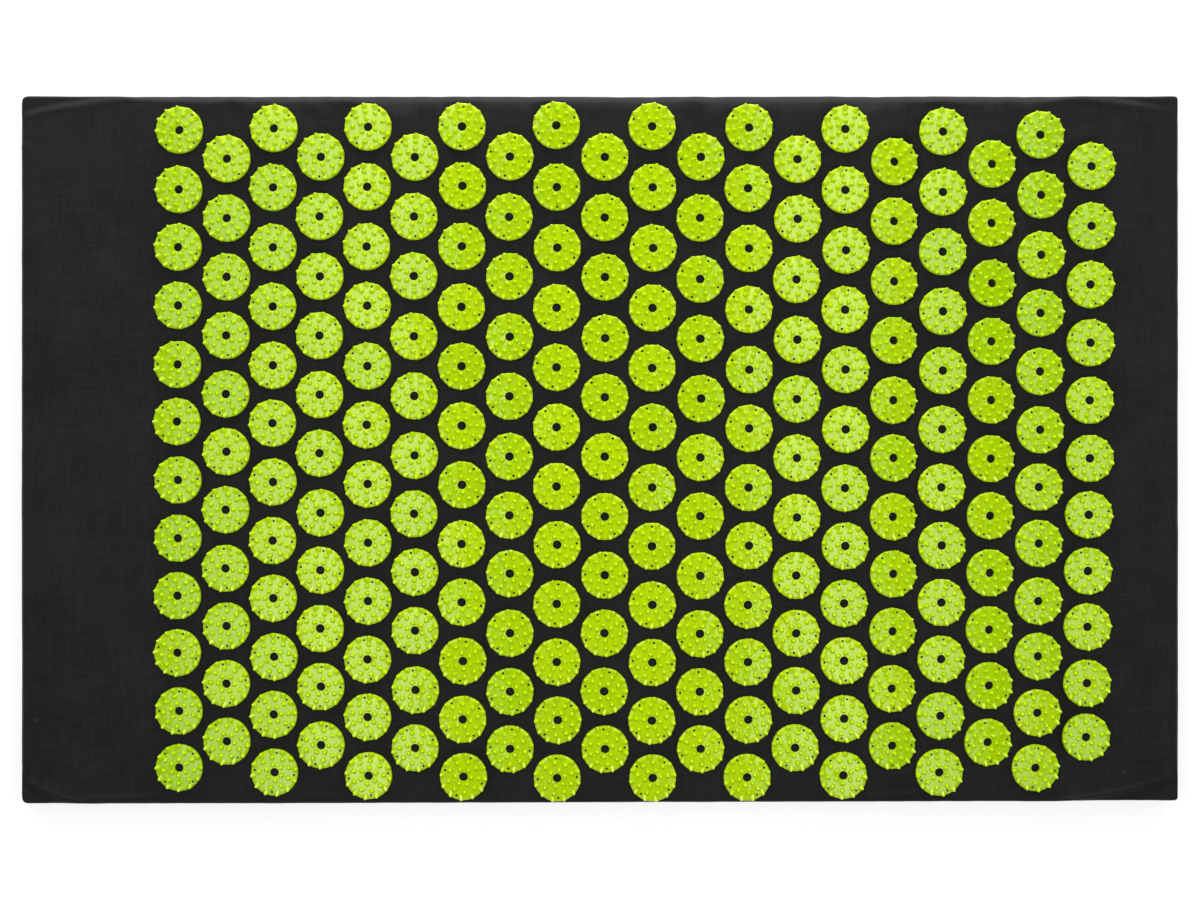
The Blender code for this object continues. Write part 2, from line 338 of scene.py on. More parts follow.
def foam_material(name):
    """Pale open-cell foam: small pores, larger ones here and there, slightly yellowed."""
    material, tree, shader, place = new_material(name)
    grain = use_group(tree, GRAIN, place, Scale=1100.0, Cloud_scale=60.0)
    pores = tree.add("ShaderNodeTexVoronoi", Vector=place, Scale=700.0).outputs["Distance"]
    height = tree.math("ADD", tree.span(pores, 0.0, 0.45), grain["Height"])
    base = tree.blend_colour(grain["Cloud"], (0.70, 0.66, 0.52, 1.0), (0.84, 0.82, 0.72, 1.0))
    # the pores' middles are painted darker: painted shade in their hollows
    painted_pore_shade = tree.span(pores, 0.18, 0.02, 0.0, 0.45)
    base = tree.blend_colour(painted_pore_shade, base, (0.42, 0.38, 0.28, 1.0))
    tree.feed(shader, "Base Color", base)
    shader.inputs["Roughness"].default_value = 0.95
    shader.inputs["Specular IOR Level"].default_value = 0.15
    add_bump(tree, shader, height, 0.35 * MM, 0.8)
    return material


def tape_material(name, colour, pitch, depth, roughness, sheen):
    """Tape of hook and loop: rows of small tufts on a woven ground."""
    material, tree, shader, place = new_material(name)
    weave = use_group(tree, WEAVE, place, Threads_per_metre=1 / pitch, Slub=0.3, Dust=0.3)
    fuzz = use_group(tree, GRAIN, place, Scale=2600.0, Cloud_scale=240.0)
    height = tree.math("ADD", weave["Height"], fuzz["Height"])
    # the tufts' tops are painted lighter and the ground between them darker, following their
    # height: painted light and shade
    light = (*[c * 2.2 for c in colour], 1.0)
    base = tree.blend_colour(tree.span(height, 0.2, 1.3), (*colour, 1.0), light)
    tree.feed(shader, "Base Color", base)
    shader.inputs["Roughness"].default_value = roughness
    shader.inputs["Sheen Weight"].default_value = sheen
    add_bump(tree, shader, height, depth, 0.9)
    return material


def thread_material(name, colour):
    """Polyester sewing thread: two twisted plies with a soft shine."""
    material, tree, shader, place = new_material(name)
    grain = use_group(tree, GRAIN, place, Scale=2500.0, Cloud_scale=300.0)
    light = (*[c * 1.7 for c in colour], 1.0)
    tree.feed(shader, "Base Color", tree.blend_colour(grain["Cloud"], (*colour, 1.0), light))
    shader.inputs["Roughness"].default_value = 0.5
    shader.inputs["Sheen Weight"].default_value = 0.2
    add_bump(tree, shader, grain["Height"], 0.05 * MM, 0.6)
    return material


CLOTH_COLOUR = (0.0085, 0.0084, 0.0086)
TOP_CLOTH = cloth_material("top_cloth", CLOTH_COLOUR, 0.36, 0.8)
# The back panel and the flap are the same black cloth as the top, painted about 1.3 times lighter:
# painted light standing in for the light the underside lacks.
UNDERSIDE_PAINTED_LIGHT_COLOUR = (0.0112, 0.0110, 0.0113)
BACK_CLOTH = cloth_material("back_cloth", UNDERSIDE_PAINTED_LIGHT_COLOUR, 0.28, 0.8)
FLAP_CLOTH = cloth_material("flap_cloth", UNDERSIDE_PAINTED_LIGHT_COLOUR, 0.28, 0.8)
LIME_PLASTIC = plastic_material("lime_plastic")
PALE_FOAM = foam_material("pale_foam")
LOOP_PILE = tape_material("loop_pile", (0.010, 0.010, 0.011), 1.1 * MM, 0.35 * MM, 0.95, 0.3)
HOOK_ROWS = tape_material("hook_rows", (0.012, 0.012, 0.013), 1.5 * MM, 0.5 * MM, 0.45, 0.0)
BLACK_THREAD = thread_material("black_thread", (0.022, 0.022, 0.024))


# Where the discs stand


def disc_field():
    """Every disc: its column's number and its seat's middle, from the columns of the model.

    The real mat was filled by hand, so its rows sag a little and its lines wander.
    """
    chance = random.Random(27)
    discs = []
    for number, name in enumerate(DISC_COLUMNS):
        low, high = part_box(name)
        count = 12 if number % 2 == 0 else 11
        pitch = (high.y - low.y - 2 * DISC_END_REACH) / (count - 1)
        along = 2 * number / (len(DISC_COLUMNS) - 1) - 1
        for row in range(count):
            x = (low.x + high.x) / 2
            y = low.y + DISC_END_REACH + pitch * row
            across = y / FIELD_HALF_WIDTH
            lean = 0.4 + 0.9 * along * across * (1 - across) + 0.8 * across * along**2
            lean += 1.0 * along**19
            sag = -2.23 - 2.0 * along + 0.5 * across + 1.5 * along**2 + 2.8 * across**2
            sag += 1.6 * along * across**2
            x += (lean - 0.2 + chance.uniform(-0.35, 0.35)) * MM
            y += (sag + chance.uniform(-0.35, 0.35)) * MM
            discs.append({"column": number, "row": row, "x": x, "y": y})
    return discs


DISCS = disc_field()
DISC_X = np.array([disc["x"] for disc in DISCS])
DISC_Y = np.array([disc["y"] for disc in DISCS])


# Folds of the cover: start and end of a ridge, its half width, and its height before the gain, in
# millimetres
FOLDS = (
    (-330, 171, -322, 172, 2.0, 0.4),
    (-328, 166, -321, 168, 2.0, 0.3),
    (-212, 200, -200, 193, 2.0, 0.5),
    (-168, 199, -156, 190, 2.2, 0.4),
    (-290, -197.5, -248, -196, 1.6, 0.45),
    (-198, -193, -152, -196, 2.0, 0.45),
    (125, -195.5, 183, -196.5, 2.0, 0.4),
    (320, 124, 323, 101, 1.6, 0.35),
    (323, -34, 326, -48, 1.6, 0.35),
    (325, -84, 327, -96, 1.4, 0.35),
)
FOLD_GAIN = 1.8


def fold_height(x, y):
    """Height added by the folds at points of the cover."""
    total = np.zeros_like(x)
    for x0, y0, x1, y1, width, height in FOLDS:
        start = np.array((x0, y0)) * MM
        reach = np.array((x1, y1)) * MM - start
        length = np.hypot(*reach)
        t = ((x - start[0]) * reach[0] + (y - start[1]) * reach[1]) / length**2
        side = ((y - start[1]) * reach[0] - (x - start[0]) * reach[1]) / length
        ends = smoothstep((t + 0.25) / 0.35) * smoothstep((1.25 - t) / 0.35)
        across = side / (width * MM)
        total += FOLD_GAIN * height * MM * ends * np.exp(-across * across)
    return total


def swell(x, y):
    """Slow rise and fall of the foam's top under the cover."""
    slow = 0.21 * np.sin(x * 17 + 1.3) * np.cos(y * 23 + 0.4)
    slow += 0.15 * np.sin(x * 41 - y * 29 + 2.0)
    return slow * MM


def back_shoulder(x, y):
    """How far the cover falls towards its back edge, in scallops where the cloth is drawn in."""
    wide = np.array([noise.noise(Vector((a * 30, 2.7, 0.0))) for a in x])
    narrow = np.array([noise.noise(Vector((a * 85, 6.1, 0.0))) for a in x])
    reach = np.clip(7.5 + 9.0 * wide + 5.0 * narrow, 3.5, 13.0) * MM
    t = np.clip(1 - (HALF_WIDTH - y) / reach, 0.0, 1.0)
    return 0.31 * reach * t**1.35 * (1 - corner_share(x, y))


# Creases that cut off the corners: side in x and in y, how far they reach along each, how deep the
# cloth sinks past them, how high their lip is, and how far from the end they are full, in
# millimetres
CORNERS = (
    (-1, 1, 100, 14.5, 1.5, 0.26, 9),
    (1, 1, 100, 12.5, 1.7, 0.24, 34),
    (1, -1, 85, 17, 1.3, 1.35, 30),
    (-1, -1, 45, 18.8, 1.2, 0.75, 6),
)
CREASE_BEND = 0.75
CREASE_WIDTH = 3.8 * MM


def past_crease(x, y, side_x, side_y, reach_x, reach_y):
    """How far points lie past a corner's crease, and below 0 inside it."""
    share_x = np.clip((HALF_LENGTH - side_x * x) / (reach_x * MM), 0.02, None)
    share_y = np.clip((HALF_WIDTH - side_y * y) / (reach_y * MM), 0.02, None)
    level = share_x**CREASE_BEND + share_y**CREASE_BEND
    steep_x = share_x ** (CREASE_BEND - 1) / (reach_x * MM)
    steep_y = share_y ** (CREASE_BEND - 1) / (reach_y * MM)
    return (1 - level) / (CREASE_BEND * np.hypot(steep_x, steep_y))


def corner_slack(x, y):
    """How far the cover sinks past the creases, less towards the seam, with a lip along each."""
    sink = np.zeros_like(x)
    for *corner, depth, lip, start in CORNERS:
        past = past_crease(x, y, *corner)
        grown = smoothstep((HALF_LENGTH - corner[0] * x) / (start * MM))
        fall = depth * smoothstep(past / CREASE_WIDTH)
        fall *= 1 - 0.6 * smoothstep((past - 2 * MM) / (8 * MM))
        sink += grown * (fall - lip * np.exp(-(((past + 0.8 * MM) / (1.2 * MM)) ** 2))) * MM
    return sink


def corner_share(x, y):
    """1 in the slack corners, where the cover's edge is sharp, and 0 along the sides."""
    share = np.zeros_like(x)
    for side_x, side_y, reach_x, reach_y, *_ in CORNERS:
        near_x = smoothstep((reach_x * 0.78 * MM - (HALF_LENGTH - side_x * x)) / (22 * MM))
        near_y = smoothstep((reach_y * 1.4 * MM - (HALF_WIDTH - side_y * y)) / (10 * MM))
        share = np.maximum(share, near_x * near_y)
    return share


def right_end_fall(x):
    """A shallow trough along the right end, where the foam stops short of the seam."""
    fall = smoothstep((x - 304 * MM) / (10 * MM))
    rise = 0.7 * smoothstep((x - 317 * MM) / (6 * MM))
    return 0.6 * MM * fall * (1 - rise)


# Columns whose discs lean on the foam, in degrees, to the right where it is above 0
COLUMN_LEAN = {5: -1.2, 6: 1.0, 12: -0.3, 13: 1.2, 15: 5.7, 17: 5.0, 18: 0.8, 19: -4.0}


def column_tone(number):
    """Shade of a column's plastic, from 0 deep to 1 bright: the end columns are a deeper lime."""
    return 0.76 - 0.7 * math.exp(-number / 3) - 0.33 * (number > 14)


def swell_slope(x, y):
    """Slope of the swell in x and in y at one point."""
    step = 6 * MM
    slopes = []
    for shift in ((step, 0.0), (0.0, step)):
        ahead = swell(np.array([x + shift[0]]), np.array([y + shift[1]]))[0]
        behind = swell(np.array([x - shift[0]]), np.array([y - shift[1]]))[0]
        slopes.append(float(ahead - behind) / (2 * step))
    return slopes


def lean_discs():
    """Give every disc its turn, its lean and its shade. A leaning disc sinks into the foam."""
    chance = random.Random(8)
    for number in range(len(DISC_COLUMNS)):
        column_lean = COLUMN_LEAN.get(number, 0.0) + chance.uniform(-0.7, 0.7)
        column_shade = column_tone(number) + chance.uniform(-0.12, 0.12)
        for disc in [d for d in DISCS if d["column"] == number]:
            disc["spin"] = chance.uniform(0, 2 * math.pi)
            slope_x, slope_y = swell_slope(disc["x"], disc["y"])
            tilt_y = math.radians(column_lean + chance.gauss(0, 0.6)) - math.atan(slope_x)
            tilt_x = math.radians(chance.gauss(0, 0.7)) + math.atan(slope_y)
            tilt = Matrix.Rotation(tilt_y, 4, "Y") @ Matrix.Rotation(tilt_x, 4, "X")
            up = tilt @ Vector((0, 0, 1))
            rise = float(swell(np.array([disc["x"]]), np.array([disc["y"]]))[0])
            disc["tilt"] = tilt
            disc["slope"] = (-up.x / up.z, -up.y / up.z)
            disc["z"] = DISC_BOTTOM + rise - 0.8 * DISC_RADIUS * math.hypot(up.x, up.y)
            disc["shade"] = min(1.0, max(0.0, column_shade + chance.uniform(-0.25, 0.25)))


lean_discs()
DISC_Z = np.array([disc["z"] for disc in DISCS])
DISC_SLOPE = np.array([disc["slope"] for disc in DISCS])


def top_height(x, y):
    """Height of the cover's flat top: foam swell, folds, and seats that lean with the discs."""
    height = COVER_TOP + swell(x, y) + fold_height(x, y)
    height -= corner_slack(x, y) + back_shoulder(x, y) + right_end_fall(x)
    away_x = x[:, None] - DISC_X[None, :]
    away_y = y[:, None] - DISC_Y[None, :]
    distance = np.hypot(away_x, away_y)
    nearest = np.argmin(distance, axis=1)
    rows = np.arange(len(x))
    away = distance[rows, nearest]
    order = np.argpartition(distance, 1, axis=1)[:, :2]
    second = distance[rows[:, None], order].max(axis=1)
    # the cloth swells a little between discs, and near a disc it follows that disc's seat
    puff = smoothstep((away - DISC_RADIUS) / (5 * MM)) * smoothstep((60 * MM - second) / (20 * MM))
    height += 0.45 * MM * puff
    free = np.ones(len(x))
    shares = np.zeros(len(x))
    total = np.zeros(len(x))
    for one in (order[:, 0], order[:, 1]):
        hold = 1 - smoothstep((distance[rows, one] - DISC_RADIUS) / (4 * MM))
        seat = DISC_Z[one] - 0.05 * MM
        seat = seat + away_x[rows, one] * DISC_SLOPE[one, 0]
        seat = seat + away_y[rows, one] * DISC_SLOPE[one, 1]
        free = free * (1 - hold)
        shares = shares + hold**2
        total = total + hold**2 * seat
    return (free * height + total) / (free + shares)


# The cover's two panels and the foam share one way of wrapping a grid round a slab


def spaced_lines(half, pitch, fixed=()):
    """Places of the grid's inner lines from one side to the other, finer near both edges."""
    places = [-half, half]
    step, place = 0.9 * MM, half
    while place > 0:
        place -= step
        step = min(step * 1.05, pitch)
        if place > pitch * 0.6:
            places.extend((-place, place))
    places.append(0.0)
    places = [p for p in places if all(abs(p - f) > 0.8 * MM for f in fixed)]
    return sorted(places + list(fixed))


def wrap_panel(bm, offset, pitch, fixed_x=(), fixed_y=(), *, height_at, slack=True):
    """A grid laid over one side of the slab and round its edges down to the seam.

    It lies offset inside the cover's outside. Returns its vertices, their places, and how far up
    the side each one is, from 0 at the seam to 1 on the flat.
    """
    reach = EDGE_ROLL - offset
    half_x = HALF_LENGTH - offset
    half_y = HALF_WIDTH - offset
    x_lines = spaced_lines(half_x - reach, pitch, fixed_x)
    y_lines = spaced_lines(half_y - reach, pitch, fixed_y)
    columns = len(x_lines) + 2 * ROLL_LINES
    rows = len(y_lines) + 2 * ROLL_LINES
    made = bmesh.ops.create_grid(bm, x_segments=columns - 1, y_segments=rows - 1, size=1.0)
    insets = [reach * (1 - math.cos(math.pi / 2 * k / ROLL_LINES)) for k in range(ROLL_LINES)]

    def line_place(index, lines, half):
        if index < ROLL_LINES:
            return insets[index] - half
        if index >= len(lines) + ROLL_LINES:
            return half - insets[len(lines) + 2 * ROLL_LINES - 1 - index]
        return lines[index - ROLL_LINES]

    x_places = [line_place(i, x_lines, half_x) for i in range(columns)]
    y_places = [line_place(j, y_lines, half_y) for j in range(rows)]
    verts = made["verts"]
    grid = np.array([vert.co[:2] for vert in verts])
    i = np.rint((grid[:, 0] + 1) / 2 * (columns - 1)).astype(int)
    j = np.rint((grid[:, 1] + 1) / 2 * (rows - 1)).astype(int)
    x = np.array(x_places)[i]
    y = np.array(y_places)[j]
    over_x = np.abs(x) - (half_x - CORNER_SQUARE)
    over_y = np.abs(y) - (half_y - CORNER_SQUARE)
    furthest = np.maximum(over_x, over_y)
    inset = CORNER_SQUARE - furthest
    corner = (over_x > 0) & (over_y > 0)
    power = np.where(x > 0, RIGHT_CORNER_SHARPNESS, LEFT_CORNER_SHARPNESS)
    powers = np.clip(over_x, 0, None) ** power + np.clip(over_y, 0, None) ** power
    rounded = powers ** (1 / power)
    shrink = np.where(corner, furthest / np.maximum(rounded, 1e-9), 1.0)
    x = np.where(corner, np.sign(x) * (half_x - CORNER_SQUARE + over_x * shrink), x)
    y = np.where(corner, np.sign(y) * (half_y - CORNER_SQUARE + over_y * shrink), y)
    # the edge is rolled tighter along the front and in the slack corners
    front = 0.5 * ((y < 0) & (over_y >= over_x))
    tight = np.maximum(front, 0.6 * corner_share(x, y)) * slack
    lift = np.clip(1 - inset / (reach * (1 - tight)), 0.0, 1.0)
    rise = np.sqrt(1 - lift * lift)
    flat = height_at(x, y)
    z = SEAM_HEIGHT + (flat - SEAM_HEIGHT) * rise
    return verts, x, y, z, rise


def seam_pinch(x, y, rise):
    """How far the seam draws the cloth in. It gathers in puckers that run up and down the side."""
    along = np.where(np.abs(x) / HALF_LENGTH > np.abs(y) / HALF_WIDTH, y, x)
    wave = np.array([noise.noise(Vector((a * 95, b * 12, 3.1))) for a, b in zip(along, x - y)])
    slow = np.array([noise.noise(Vector((a * 22, b * 5, 7.7))) for a, b in zip(along, x + y)])
    depth = SEAM_PINCH * (1 + 1.1 * wave + 0.4 * slow)
    extent = 0.30 + 0.26 * wave
    pinch = depth * np.clip(1 - rise / extent, 0.0, 1.0) ** 1.4
    return pinch - 0.45 * MM * (wave + slow) * (1 - rise)


def place_panel(verts, x, y, z, push):
    """Move the grid's vertices into place, the border out by push, and the front edge tapered."""
    out_x = np.clip((np.abs(x) - (HALF_LENGTH - CORNER_SQUARE)) / CORNER_SQUARE, 0, 1) * np.sign(x)
    out_y = np.clip((np.abs(y) - (HALF_WIDTH - CORNER_SQUARE)) / CORNER_SQUARE, 0, 1) * np.sign(y)
    sharp = corner_share(x, y)
    front = 1.0 * (y < 0)
    x = x + (push - END_SETBACK - 1.15 * MM * sharp) * out_x
    y = y + (push + SIDE_REACH - (0.3 * sharp + 0.35 * front) * MM) * out_y
    taper = RIGHT_END_TAPER * (x / (2 * HALF_LENGTH) + 0.5)
    y = np.where(y < 0, y * (1 - taper / HALF_WIDTH), y)
    for vert, *place in zip(verts, x, y, z):
        vert.co = place


def tuck_seam(bm, side):
    """Turn the border inwards between the two panels, so that the seam is a groove."""
    border = [edge for edge in bm.edges if edge.is_boundary]
    border = [edge for edge in border if abs(edge.verts[0].co.z - SEAM_HEIGHT) < 1 * MM]
    made = bmesh.ops.extrude_edge_only(bm, edges=border)
    turned = [item for item in made["geom"] if isinstance(item, bmesh.types.BMVert)]
    for vert in turned:
        if abs(vert.co.x) > HALF_LENGTH - CORNER_SQUARE:
            vert.co.x -= math.copysign(SEAM_TUCK, vert.co.x)
        if abs(vert.co.y) > HALF_WIDTH - CORNER_SQUARE:
            vert.co.y -= math.copysign(SEAM_TUCK, vert.co.y)
        vert.co.z += side * 0.12 * MM


def add_thickness(item):
    """Give a sheet the cloth's thickness, on its inside."""
    solid = item.modifiers.new("thickness", "SOLIDIFY")
    solid.thickness = CLOTH_THICKNESS
    solid.offset = -1.0


def make_top_panel():
    bm = bmesh.new()
    verts, x, y, z, rise = wrap_panel(bm, 0.0, 3.2 * MM, height_at=top_height)
    place_panel(verts, x, y, z, -seam_pinch(x, y, rise))
    tuck_seam(bm, 1)
    face_outwards(bm, 1)
    item = finish_piece("cover_top_cloth", bm, TOP_CLOTH)
    add_thickness(item)
    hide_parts("cover_top_panel")
    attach(item, "mat")


def underside_height(x, y):
    """Height of the underside: level on the floor, raised over the hem and its tapes."""
    along = smoothstep((HEM_EDGE + HEM_LENGTH + HEM_RAMP - x) / HEM_RAMP) * (x > HEM_EDGE - 1 * MM)
    across = smoothstep((POCKET_HALF_WIDTH + HEM_RAMP - np.abs(y)) / HEM_RAMP)
    return HEM_LIFT * along * across


def make_back_panel():
    bm = bmesh.new()
    ramp_start = HEM_EDGE + HEM_LENGTH
    fixed_x = (OPENING_EDGE, HEM_EDGE, ramp_start, ramp_start + HEM_RAMP)
    half_ramp = POCKET_HALF_WIDTH + HEM_RAMP
    fixed_y = (-half_ramp, -POCKET_HALF_WIDTH, POCKET_HALF_WIDTH, half_ramp)
    verts, x, y, z, rise = wrap_panel(
        bm, 0.0, 5 * MM, fixed_x, fixed_y, height_at=underside_height, slack=False
    )
    place_panel(verts, x, y, z, -seam_pinch(x, y, rise))
    opening = [
        face
        for face in bm.faces
        if OPENING_EDGE < face.calc_center_median().x < HEM_EDGE
        and abs(face.calc_center_median().y) < POCKET_HALF_WIDTH * 0.995
    ]
    bmesh.ops.delete(bm, geom=opening, context="FACES")
    tuck_seam(bm, -1)
    face_outwards(bm, -1)
    item = finish_piece("cover_back_cloth", bm, BACK_CLOTH)
    add_thickness(item)
    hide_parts("cover_back_panel")
    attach(item, "mat")


def foam_top(x, y):
    """Height of the foam's top: it follows the cover, pressed in by the leaning discs."""
    return top_height(x, y) - CLOTH_THICKNESS - 0.7 * MM


def foam_bottom(x, y):
    """Height of the foam's underside: just above the back panel, lifted well before its hem."""
    lift = np.maximum(underside_height(x, y), underside_height(x + 6 * MM, y))
    return FOAM_LOW.z + lift


def make_foam():
    bm = bmesh.new()
    offset = CLOTH_THICKNESS + 0.4 * MM
    pitch = 6 * MM
    for level, slack in ((foam_top, True), (foam_bottom, False)):
        verts, x, y, z, rise = wrap_panel(bm, offset, pitch, height_at=level, slack=slack)
        place_panel(verts, x, y, z, -seam_pinch(x, y, rise) - 0.3 * MM * (1 - rise))
    bmesh.ops.remove_doubles(bm, verts=bm.verts[:], dist=0.01 * MM)
    face_outwards(bm)
    item = finish_piece("foam_slab", bm, PALE_FOAM)
    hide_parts("foam_core")
    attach(item, "mat")


FLAP_BOTTOM = 0.25 * MM
FLAP_THICKNESS = 0.5 * MM
FLAP_HEM = 7 * MM
FLAP_HALF_WIDTH = POCKET_HALF_WIDTH - 0.3 * MM


def make_flap():
    """The flap, one sheet from the opening's edge, hemmed round its free sides."""
    bm = bmesh.new()
    half = FLAP_HALF_WIDTH
    corner = 8 * MM
    made = bmesh.ops.create_grid(bm, x_segments=34, y_segments=110, size=1.0)
    for vert in made["verts"]:
        u, v = (vert.co.x + 1) / 2, vert.co.y
        # the lines lie closer together near the hinge
        u = u * u * 0.45 + u * 0.55
        u += 0.045 * math.sin(2 * math.pi * u) * (1 - u)
        x = OPENING_EDGE + (FLAP_END - OPENING_EDGE) * u
        y = half * v
        over_x, over_y = x - (FLAP_END - corner), abs(y) - (half - corner)
        if over_x > 0 and over_y > 0:
            most = max(over_x, over_y)
            shrink = most / math.hypot(over_x, over_y)
            x = FLAP_END - corner + over_x * shrink
            y = math.copysign(half - corner + over_y * shrink, y)
        wave = 0.06 * MM * (1 + math.sin(y * 60 + 1)) * u
        vert.co = (x, y, FLAP_BOTTOM + wave)
    face_outwards(bm, 1)
    bmesh.ops.solidify(bm, geom=bm.faces[:], thickness=-FLAP_THICKNESS)
    face_outwards(bm)
    middle = FLAP_BOTTOM + FLAP_THICKNESS / 2
    for vert in bm.verts:
        over_x, over_y = vert.co.x - (FLAP_END - corner), abs(vert.co.y) - (half - corner)
        inset = corner - max(over_x, over_y)
        hem = float(smoothstep((FLAP_HEM - inset) / (1.2 * MM)))
        if vert.co.z > middle:
            vert.co.z += 0.3 * MM * hem
    item = finish_piece("closure_flap_cloth", bm, FLAP_CLOTH, 50)
    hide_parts("closure_flap")
    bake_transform(item)


SELVEDGE = 2.5 * MM
RIBBON_PARTS = 12


def ribbon(bm, low, high):
    """A flat ribbon between two corners, with rounded corners, as one solid."""
    bmesh.ops.create_cube(bm, size=1.0)
    size = high - low
    bmesh.ops.scale(bm, vec=size, verts=bm.verts[:])
    bmesh.ops.translate(bm, vec=(low + high) / 2, verts=bm.verts[:])
    upright = [e for e in bm.edges if abs(e.verts[0].co.z - e.verts[1].co.z) > size.z / 2]
    bmesh.ops.bevel(
        bm, geom=upright, offset=1.5 * MM, offset_type="OFFSET", affect="EDGES",
        segments=3, profile=0.5, material=-1,
    )
    for k in range(1, RIBBON_PARTS):
        seat = low.lerp(high, k / RIBBON_PARTS)
        everything = bm.verts[:] + bm.edges[:] + bm.faces[:]
        bmesh.ops.bisect_plane(bm, geom=everything, plane_co=seat, plane_no=(0, 1, 0))


def scatter(bm, unit, seats):
    """Copies of a small mesh, one at each seat, in one piece."""
    for seat in seats:
        start = len(bm.verts)
        bm.from_mesh(unit)
        bm.verts.ensure_lookup_table()
        for vert in bm.verts[start:]:
            vert.co = seat @ vert.co


def make_hook_tape():
    """The stiff half of the closure: a ribbon sewn to the hem, with rows of small hooks below."""
    bm = bmesh.new()
    low = HOOK_LOW.copy()
    high = HOOK_HIGH.copy()
    field_low = low.z
    low.z = high.z - 0.45 * MM
    high.z += 0.25 * MM
    ribbon(bm, low, high)
    pitch = 1.9 * MM
    across = int((high.x - low.x - 2 * SELVEDGE) / pitch)
    along = int((high.y - low.y - 2 * SELVEDGE) / pitch)
    height = low.z - field_low
    hook = bmesh.new()
    turn = Matrix.Rotation(math.pi, 4, "X") @ Matrix.Rotation(math.pi / 4, 4, "Z")
    bmesh.ops.create_cone(
        hook, cap_ends=False, segments=4, radius1=0.42 * MM, radius2=0.16 * MM,
        depth=height * 0.95, matrix=turn,
    )
    seats = []
    for i in range(across):
        for j in range(along):
            x = low.x + SELVEDGE + pitch * (i + 0.5)
            y = low.y + SELVEDGE + pitch * (j + 0.25 + 0.5 * (i % 2))
            seats.append(Matrix.Translation((x, y, low.z - height * 0.45)))
    scatter(bm, mesh_from("hook", hook), seats)
    item = finish_piece("hook_tape_rows", bm, HOOK_ROWS, 35)
    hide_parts("closure_hook_tape")
    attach(item, "mat")


def make_loop_tape():
    """The soft half of the closure: a ribbon sewn to the flap, with brushed pile above."""
    bm = bmesh.new()
    low = LOOP_LOW.copy()
    high = LOOP_HIGH.copy()
    pile_top = high.z
    low.z -= 0.15 * MM
    high.z = low.z + 0.4 * MM
    ribbon(bm, low, high)
    made = bmesh.ops.create_grid(bm, x_segments=24, y_segments=260, size=1.0)
    half_x = (high.x - low.x) / 2 - SELVEDGE
    half_y = (high.y - low.y) / 2 - SELVEDGE
    for vert in made["verts"]:
        u, v = vert.co.x, vert.co.y
        rim = min(half_x * (1 - abs(u)), half_y * (1 - abs(v)))
        x = (low.x + high.x) / 2 + half_x * u
        y = (low.y + high.y) / 2 + half_y * v
        tuft = 0.5 + 0.5 * noise.noise(Vector((x * 520, y * 520, 0.3)))
        rise = float(smoothstep(rim / (1.1 * MM))) * (0.72 + 0.28 * tuft)
        vert.co = (x, y, high.z - 0.05 * MM + (pile_top - high.z) * rise)
    item = finish_piece("loop_tape_pile", bm, LOOP_PILE, 60)
    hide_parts("closure_loop_tape")
    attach(item, "flap")


def make_stitch():
    """One stitch, lying along the x axis."""
    bm = bmesh.new()
    shape = Matrix.Diagonal((1.3 * MM, 0.3 * MM, 0.17 * MM, 1.0))
    bmesh.ops.create_icosphere(bm, subdivisions=1, radius=1.0, matrix=shape)
    return mesh_from("stitch", bm)


STITCH = make_stitch()
STITCH_PITCH = 3.4 * MM


def add_stitches(bm, start, end):
    """A row of stitches along a straight line."""
    start, end = Vector(start), Vector(end)
    run = end - start
    count = int(run.length / STITCH_PITCH)
    turn = run.to_track_quat("X", "Z").to_matrix().to_4x4()
    seats = [Matrix.Translation(start.lerp(end, (k + 0.5) / count)) @ turn for k in range(count)]
    scatter(bm, STITCH, seats)


def stitch_box(bm, low, high, z):
    """Stitches round a rectangle."""
    corners = [(low.x, low.y, z), (high.x, low.y, z), (high.x, high.y, z), (low.x, high.y, z)]
    for here, there in zip(corners, corners[1:] + corners[:1]):
        add_stitches(bm, here, there)


def make_stitches():
    """Rows of thread: round both tapes, round the flap's hem, and beside the opening."""
    inset = Vector((1.3, 1.3, 0.0)) * MM
    bm = bmesh.new()
    stitch_box(bm, HOOK_LOW + inset, HOOK_HIGH - inset, HOOK_HIGH.z - 0.45 * MM)
    rows = (
        (HEM_EDGE + 2.2 * MM, POCKET_HALF_WIDTH * 0.99, HEM_LIFT),
        (OPENING_EDGE - 2.4 * MM, POCKET_HALF_WIDTH, 0.17 * MM),
    )
    for x, half, z in rows:
        add_stitches(bm, (x, -half, z), (x, half, z))
    item = finish_piece("mat_closure_stitches", bm, BLACK_THREAD)
    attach(item, "mat")

    bm = bmesh.new()
    below = FLAP_BOTTOM + 0.02 * MM
    half = FLAP_HALF_WIDTH
    stitch_box(bm, LOOP_LOW + inset, LOOP_HIGH - inset, LOOP_LOW.z + 0.28 * MM)
    stitch_box(bm, LOOP_LOW + inset, LOOP_HIGH - inset, below)
    start = OPENING_EDGE + 8 * MM
    for row in (1.8 * MM, 5.6 * MM):
        for z in (below, FLAP_BOTTOM + FLAP_THICKNESS + 0.32 * MM):
            end_x, end_y = FLAP_END - row, half - row
            add_stitches(bm, (start, -end_y, z), (end_x - 6 * MM, -end_y, z))
            add_stitches(bm, (end_x, -end_y + 6 * MM, z), (end_x, end_y - 6 * MM, z))
            add_stitches(bm, (start, end_y, z), (end_x - 6 * MM, end_y, z))
    item = finish_piece("flap_stitches", bm, BLACK_THREAD)
    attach(item, "flap")


# The moulded disc


def plate_height(radius):
    """Height of the plate's top at a radius, from its gentle dome down to its rim."""
    radii = np.array([3.2, 6.0, 9.0, 11.5, 12.8, 13.2]) * MM
    heights = np.array([2.00, 2.00, 1.98, 1.95, 1.90, 1.50]) * MM
    return float(np.interp(radius, radii, heights))


